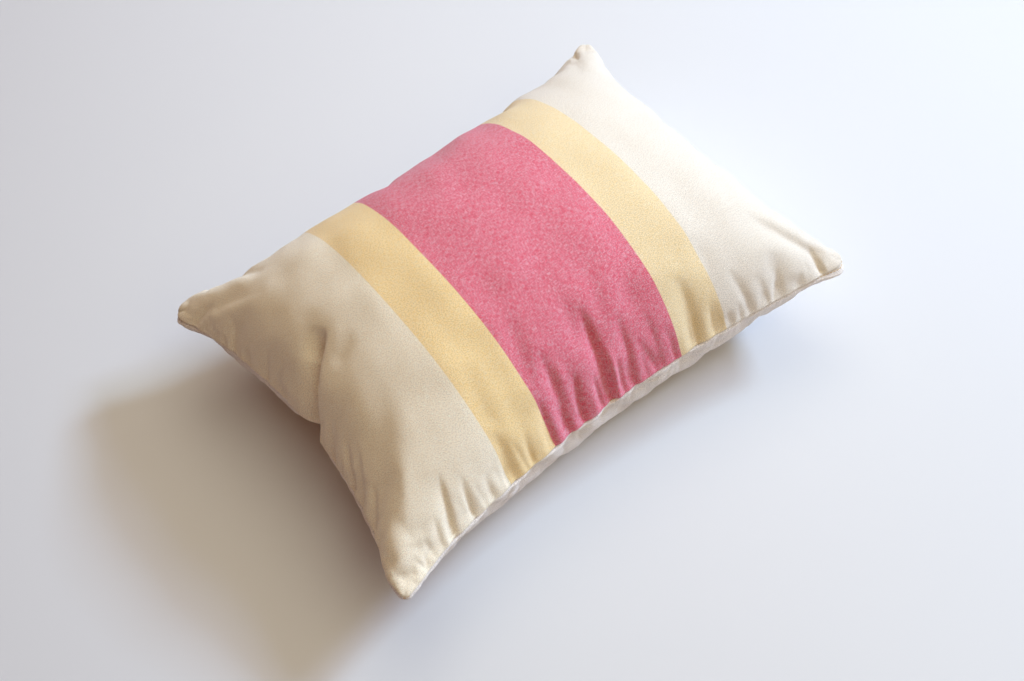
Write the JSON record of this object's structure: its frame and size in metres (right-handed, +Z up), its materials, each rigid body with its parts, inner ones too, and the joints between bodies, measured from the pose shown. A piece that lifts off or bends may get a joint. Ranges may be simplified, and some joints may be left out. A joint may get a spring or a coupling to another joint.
{
  "type": "lumbar cushion",
  "caption": "Stuffed rectangular lumbar cushion with a crowned front in broad woven bands, a plain back, a knife-edge seam and soft pinched corners.",
  "frame": {"origin": "on the surface the cushion lies on, under the middle of its panels, in its flat resting spot", "axes": "+X along the cushion's length, across the woven bands; +Y across its width, along the bands; +Z up, out of the front panel"},
  "size_m": [0.3796, 0.2886, 0.1386],
  "materials": {
    "front_cloth": "matte woven cotton in cream, yellow and pink bands",
    "back_cloth": "matte plain-woven cotton, greige",
    "thread": "matte spun sewing thread, tan"
  },
  "bodies": {
    "root": {"cushion": "front_cloth"}
  },
  "joints": []
}
